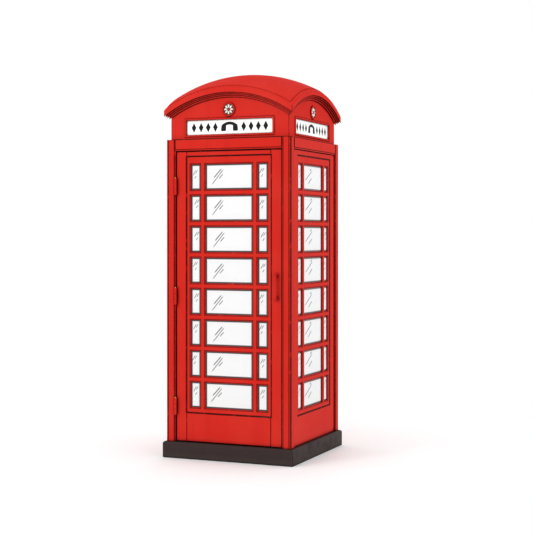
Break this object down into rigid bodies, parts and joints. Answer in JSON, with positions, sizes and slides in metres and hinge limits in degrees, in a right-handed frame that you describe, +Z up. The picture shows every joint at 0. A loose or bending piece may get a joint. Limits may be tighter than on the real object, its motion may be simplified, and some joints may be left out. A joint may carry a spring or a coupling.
{
  "type": "telephone booth",
  "caption": "Square cast-iron street telephone booth with domed roof, glazed door and windows, dark plinth, and a coin telephone on its back board.",
  "frame": {"origin": "middle of the booth's square footprint, on the ground", "axes": "+Z up, -Y towards the door side, +X to the right of someone who faces the door from outside"},
  "size_m": [0.915, 0.915, 2.515],
  "materials": {
    "iron_red": "cast iron in gloss red enamel paint, brushed on in several coats",
    "teak_red": "teak in gloss red enamel paint",
    "iron_dark": "cast iron in satin dark bitumen paint",
    "concrete": "trowelled concrete",
    "clear_glass": "clear sheet glass",
    "opal_glass": "opal glass, white",
    "brass": "polished brass, lacquered",
    "steel": "bare bright steel",
    "steel_grey": "zinc-plated and painted light grey",
    "chrome": "bright chrome plate",
    "case_black": "black stove enamel",
    "bakelite": "polished black phenolic moulding",
    "board": "varnished plywood",
    "white_enamel": "cream-white stove enamel",
    "lamp_glass": "opal lamp glass"
  },
  "bodies": {
    "kiosk": {"floor_slab": "concrete", "sill_front": "iron_dark", "sill_back": "iron_dark", "sill_left": "iron_dark", "sill_right": "iron_dark", "post_front_left": "iron_red", "post_front_right": "iron_red", "post_back_left": "iron_red", "post_back_right": "iron_red", "lintel_front": "iron_red", "lintel_back": "iron_red", "lintel_left": "iron_red", "lintel_right": "iron_red", "window_frame_left": "iron_red", "window_frame_right": "iron_red", "window_grid_left": "iron_red", "window_grid_right": "iron_red", "window_glass": "clear_glass", "window_beads": "iron_red", "back_panel": "iron_red", "roof_casting": "iron_red", "sign_glasses": "opal_glass", "sign_retainers": "steel_grey", "roof_ornaments": "white_enamel", "roof_bolts": "steel", "ceiling_plate": "white_enamel", "lamp_bowl": "lamp_glass", "lamp_holder": "steel_grey", "lamp_bulb": "lamp_glass", "hinge_post_leaves": "iron_red", "hinge_pins": "brass", "backboard": "board", "shelf": "bakelite", "shelf_brackets": "steel_grey", "notice_frame": "white_enamel", "phone_case": "case_black", "cash_canister": "steel", "coin_return_cup": "chrome", "coin_slot_plate": "chrome", "coin_mechanism": "steel", "dial_plate": "white_enamel", "dial_finger_stop": "chrome", "handset_cradle": "bakelite"},
    "door": {"door_hinge_stile": "teak_red", "door_closing_stile": "teak_red", "door_top_rail": "teak_red", "door_bottom_rail": "teak_red", "door_glazing_grid": "iron_red", "door_glass": "clear_glass", "door_glazing_beads": "iron_red", "door_pull": "iron_red", "door_kick_plate": "steel", "hinge_door_leaves": "iron_red"},
    "handset": {"handset": "bakelite"},
    "hook_switch": {"cradle_plungers": "chrome"},
    "dial": {"dial_finger_wheel": "chrome"},
    "coin_flap": {"coin_return_flap": "chrome"},
    "return_button": {"coin_return_button": "chrome"},
    "cash_door": {"cash_door": "case_black"},
    "cash_lock": {"cash_lock": "steel"}
  },
  "joints": [
    {"name": "door_hinge", "type": "hinge", "parent": "kiosk", "child": "door", "pos_m": [-0.371, -0.442, 1.05], "axis": [0, 0, -1], "range_deg": [0, 95]},
    {"name": "handset_lift", "type": "slide", "parent": "kiosk", "child": "handset", "axis": [0, 0, 1], "range_m": [0, 0.08]},
    {"name": "hook_switch_slide", "type": "slide", "parent": "kiosk", "child": "hook_switch", "axis": [0, 0, 1], "range_m": [0, 0.006]},
    {"name": "dial_spin", "type": "hinge", "parent": "kiosk", "child": "dial", "pos_m": [0, 0.221, 1.4], "axis": [0, 1, 0], "range_deg": [0, 329], "stiffness_Nm_per_rad": 0.02, "springref_deg": -57.3},
    {"name": "coin_flap_hinge", "type": "hinge", "parent": "kiosk", "child": "coin_flap", "pos_m": [0.1, 0.236, 1.186], "axis": [1, 0, 0], "range_deg": [0, 60]},
    {"name": "return_button_push", "type": "slide", "parent": "kiosk", "child": "return_button", "axis": [0, 1, 0], "range_m": [0, 0.007], "stiffness_N_per_m": 150, "springref_m": -0.003},
    {"name": "cash_door_hinge", "type": "hinge", "parent": "kiosk", "child": "cash_door", "pos_m": [-0.125, 0.2257, 1.166], "axis": [0, 0, -1], "range_deg": [0, 100]},
    {"name": "cash_lock_turn", "type": "hinge", "parent": "cash_door", "child": "cash_lock", "pos_m": [0.017, 0.2257, 1.166], "axis": [0, 1, 0], "range_deg": [0, 90]}
  ],
  "couplings": [
    {"joint": "hook_switch_slide", "follows": "handset_lift", "ratio": 0.075}
  ]
}
